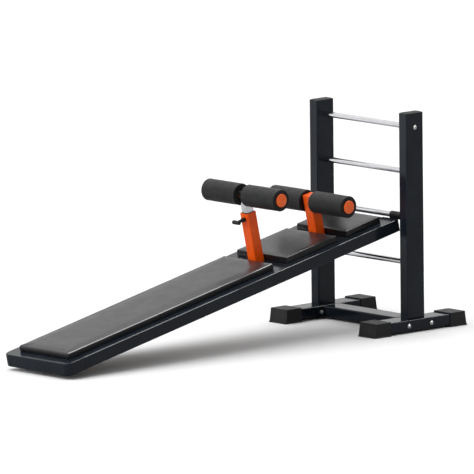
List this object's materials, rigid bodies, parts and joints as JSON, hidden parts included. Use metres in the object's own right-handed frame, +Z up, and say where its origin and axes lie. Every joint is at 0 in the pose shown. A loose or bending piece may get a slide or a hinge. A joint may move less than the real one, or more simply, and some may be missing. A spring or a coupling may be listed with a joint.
{
  "type": "decline sit up bench",
  "caption": "Sloping padded bench hooked over a rung of a ladder stand, with foam leg rollers on a fixed post and on a height-adjustable post with a pull pin.",
  "frame": {"origin": "middle of the base, on the floor, half way along the whole length", "axes": "+X from the bench's low end to the ladder stand, +Y to the left of a person who faces the ladder, +Z up"},
  "size_m": [2.2142, 0.6806, 0.957],
  "materials": {
    "frame_paint": "satin",
    "orange_paint": "gloss",
    "orange_plastic": "gloss",
    "foam": "matte",
    "chrome": "polished",
    "zinc": "satin",
    "spring_steel": "satin",
    "plywood": "matte",
    "vinyl": "satin",
    "rubber": "matte",
    "black_plastic": "matte",
    "black_fittings": "satin"
  },
  "bodies": {
    "ladder_stand": {"cross_tube": "frame_paint", "left_foot_rail": "frame_paint", "left_front_foot_cap": "black_plastic", "left_front_rail_bolt": "zinc", "left_post": "frame_paint", "left_post_cap": "black_plastic", "left_rear_foot_cap": "black_plastic", "left_rear_rail_bolt": "zinc", "left_rung_bolt": "zinc", "right_foot_rail": "frame_paint", "right_front_foot_cap": "black_plastic", "right_front_rail_bolt": "zinc", "right_post": "frame_paint", "right_post_cap": "black_plastic", "right_rear_foot_cap": "black_plastic", "right_rear_rail_bolt": "zinc", "right_rung_bolt": "zinc", "rung_1": "chrome", "rung_2": "chrome", "rung_3": "chrome", "rung_4": "chrome"},
    "bench": {"ankle_axle": "zinc", "ankle_cross_member": "frame_paint", "ankle_post": "orange_paint", "back_pad": "vinyl", "back_pad_board": "plywood", "foot_pad": "vinyl", "foot_pad_board": "plywood", "left_bench_foot": "rubber", "left_hook": "black_fittings", "left_side_rail": "frame_paint", "leg_pad": "vinyl", "leg_pad_board": "plywood", "low_cross_member": "frame_paint", "low_end_rail": "frame_paint", "middle_cross_member": "frame_paint", "pin_housing": "black_plastic", "pin_spring": "spring_steel", "right_bench_foot": "rubber", "right_hook": "black_fittings", "right_side_rail": "frame_paint", "sleeve_bush": "black_plastic", "thigh_cross_member": "frame_paint", "thigh_sleeve": "orange_paint", "upper_cross_member": "frame_paint"},
    "thigh_post": {"thigh_inner_post": "chrome", "thigh_axle": "zinc", "post_glide": "black_plastic", "thigh_post_cap": "black_plastic"},
    "pull_pin": {"pull_pin": "zinc", "pin_grip": "black_plastic"},
    "thigh_left_roller": {"thigh_left_foam": "foam", "thigh_left_hub": "orange_plastic"},
    "thigh_right_roller": {"thigh_right_foam": "foam", "thigh_right_hub": "orange_plastic"},
    "ankle_left_roller": {"ankle_left_foam": "foam", "ankle_left_hub": "orange_plastic"},
    "ankle_right_roller": {"ankle_right_foam": "foam", "ankle_right_hub": "orange_plastic"}
  },
  "joints": [
    {"name": "bench_tilt", "type": "hinge", "parent": "ladder_stand", "child": "bench", "pos_m": [0.83214, 0, 0.495], "axis": [0, 1, 0], "range_deg": [0, 45]},
    {"name": "thigh_post_slide", "type": "slide", "parent": "bench", "child": "thigh_post", "axis": [-0.2079, 0, 0.9781], "range_m": [-0.02, 0.1]},
    {"name": "pin_pull", "type": "slide", "parent": "bench", "child": "pull_pin", "axis": [-0.9781, 0, -0.2079], "range_m": [0, 0.008], "stiffness_N_per_m": 700, "springref_m": -0.01, "deforming": ["pin_spring"]},
    {"name": "thigh_left_roller_spin", "type": "hinge", "parent": "thigh_post", "child": "thigh_left_roller", "pos_m": [0.11786, 0, 0.64252], "axis": [0, 1, 0], "continuous": true},
    {"name": "thigh_right_roller_spin", "type": "hinge", "parent": "thigh_post", "child": "thigh_right_roller", "pos_m": [0.11786, 0, 0.64252], "axis": [0, 1, 0], "continuous": true},
    {"name": "ankle_left_roller_spin", "type": "hinge", "parent": "bench", "child": "ankle_left_roller", "pos_m": [0.50677, 0, 0.57081], "axis": [0, 1, 0], "continuous": true},
    {"name": "ankle_right_roller_spin", "type": "hinge", "parent": "bench", "child": "ankle_right_roller", "pos_m": [0.50677, 0, 0.57081], "axis": [0, 1, 0], "continuous": true}
  ]
}
